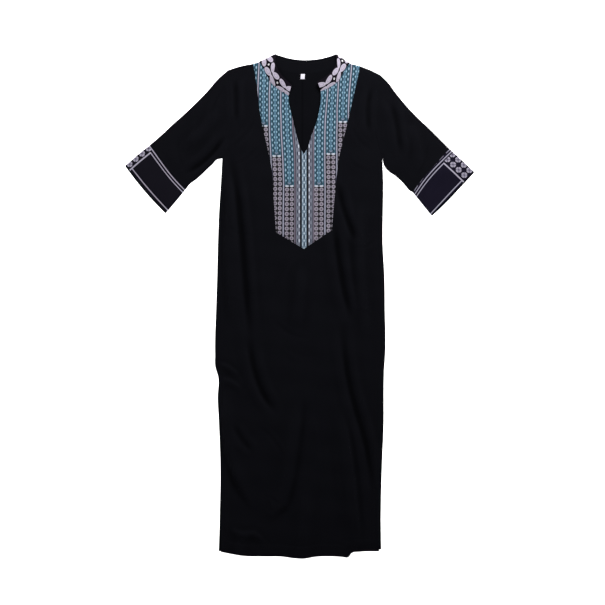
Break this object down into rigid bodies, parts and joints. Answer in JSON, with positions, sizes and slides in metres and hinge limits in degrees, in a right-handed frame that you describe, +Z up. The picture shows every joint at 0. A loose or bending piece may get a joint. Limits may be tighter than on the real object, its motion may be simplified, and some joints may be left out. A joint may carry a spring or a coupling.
{
  "type": "summer dress laid flat",
  "caption": "Straight ankle-length dress laid flat and face up, with splayed half sleeves, cuff bands, a stand collar, a notched neckline, a shield-shaped yoke and side slits.",
  "frame": {"origin": "on the surface the dress lies on, under the middle of its box", "axes": "+Y along the centre front towards the collar, +X to the right as seen from above, +Z up out of the front of the dress"},
  "size_m": [0.9604, 1.3882, 0.0141],
  "materials": {
    "crepe": "matte",
    "cuff_print": "matte",
    "collar_print": "matte",
    "yoke_print": "matte",
    "label_tape": "satin"
  },
  "bodies": {
    "root": {"front": "crepe", "back": "crepe", "sleeve_left": "crepe", "sleeve_right": "crepe", "cuff_left": "cuff_print", "cuff_right": "cuff_print", "collar": "collar_print", "yoke": "yoke_print", "label": "label_tape"}
  },
  "joints": []
}
